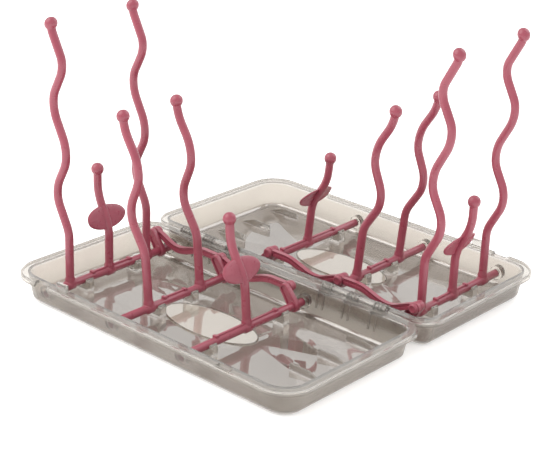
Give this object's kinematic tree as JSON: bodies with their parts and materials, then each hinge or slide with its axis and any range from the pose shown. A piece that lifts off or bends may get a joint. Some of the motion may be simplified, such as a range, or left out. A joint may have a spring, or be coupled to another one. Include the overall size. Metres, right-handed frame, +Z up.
{
  "type": "folding bottle drying rack",
  "caption": "Folding drying rack: hinged clear drip trays with rods of wavy ball-tipped pegs that fold down together on crank links.",
  "frame": {"origin": "centre of the footprint on the surface the open rack stands on", "axes": "+X along the hinge, +Y from the front tray to the rear tray, +Z up"},
  "size_m": [0.298, 0.316, 0.2277],
  "materials": {
    "clear_tray": "clear smoky plastic, glossy",
    "rose_plastic": "moulded plastic with a soft sheen",
    "pin_steel": "plain drawn pin"
  },
  "bodies": {
    "front_tray": {"tray_front": "clear_tray", "hinge_pin_left": "pin_steel", "hinge_pin_right": "pin_steel"},
    "rear_tray": {"tray_rear": "clear_tray"},
    "front_rod_1": {"axle_front_1": "rose_plastic", "crank_front_1": "rose_plastic", "peg_front_tall_outer": "rose_plastic", "peg_front_tall_inner": "rose_plastic", "peg_front_short_1": "rose_plastic"},
    "front_rod_2": {"axle_front_2": "rose_plastic", "crank_front_2": "rose_plastic", "peg_front_medium_outer": "rose_plastic", "peg_front_medium_inner": "rose_plastic"},
    "front_rod_3": {"axle_front_3": "rose_plastic", "crank_front_3": "rose_plastic", "peg_front_short_3": "rose_plastic"},
    "rear_rod_1": {"axle_rear_1": "rose_plastic", "crank_rear_1": "rose_plastic", "peg_rear_tall_outer": "rose_plastic", "peg_rear_tall_inner": "rose_plastic", "peg_rear_short_1": "rose_plastic"},
    "rear_rod_2": {"axle_rear_2": "rose_plastic", "crank_rear_2": "rose_plastic", "peg_rear_medium_outer": "rose_plastic", "peg_rear_medium_inner": "rose_plastic"},
    "rear_rod_3": {"axle_rear_3": "rose_plastic", "crank_rear_3": "rose_plastic", "peg_rear_short_3": "rose_plastic"},
    "front_link": {"link_front": "rose_plastic"},
    "rear_link": {"link_rear": "rose_plastic"}
  },
  "joints": [
    {"name": "tray_fold", "type": "hinge", "parent": "front_tray", "child": "rear_tray", "pos_m": [0, 0, 0.0252], "axis": [1, 0, 0], "range_deg": [0, 90]},
    {"name": "front_pegs_1", "type": "hinge", "parent": "front_tray", "child": "front_rod_1", "pos_m": [-0.1125, 0, 0.0127], "axis": [0, 1, 0], "range_deg": [0, 93]},
    {"name": "front_pegs_2", "type": "hinge", "parent": "front_tray", "child": "front_rod_2", "pos_m": [-0.0375, 0, 0.0127], "axis": [0, 1, 0], "range_deg": [0, 98.3]},
    {"name": "front_pegs_3", "type": "hinge", "parent": "front_tray", "child": "front_rod_3", "pos_m": [0.0375, 0, 0.0127], "axis": [0, 1, 0], "range_deg": [0, 98.3]},
    {"name": "rear_pegs_1", "type": "hinge", "parent": "rear_tray", "child": "rear_rod_1", "pos_m": [0.1125, 0, 0.0127], "axis": [0, -1, 0], "range_deg": [0, 93]},
    {"name": "rear_pegs_2", "type": "hinge", "parent": "rear_tray", "child": "rear_rod_2", "pos_m": [0.0375, 0, 0.0127], "axis": [0, -1, 0], "range_deg": [0, 98.3]},
    {"name": "rear_pegs_3", "type": "hinge", "parent": "rear_tray", "child": "rear_rod_3", "pos_m": [-0.0375, 0, 0.0127], "axis": [0, -1, 0], "range_deg": [0, 98.3]},
    {"name": "front_link_turn", "type": "hinge", "parent": "front_rod_2", "child": "front_link", "pos_m": [-0.04715, 0, 0.02451], "axis": [0, 1, 0], "range_deg": [-98.3, 0]},
    {"name": "rear_link_turn", "type": "hinge", "parent": "rear_rod_2", "child": "rear_link", "pos_m": [0.04715, 0, 0.02451], "axis": [0, -1, 0], "range_deg": [-98.3, 0]}
  ],
  "couplings": [
    {"joint": "front_pegs_2", "follows": "front_pegs_1", "ratio": 1.0569},
    {"joint": "front_pegs_3", "follows": "front_pegs_1", "ratio": 1.0569},
    {"joint": "front_link_turn", "follows": "front_pegs_1", "ratio": -1.0569},
    {"joint": "rear_pegs_2", "follows": "rear_pegs_1", "ratio": 1.0569},
    {"joint": "rear_pegs_3", "follows": "rear_pegs_1", "ratio": 1.0569},
    {"joint": "rear_link_turn", "follows": "rear_pegs_1", "ratio": -1.0569}
  ]
}
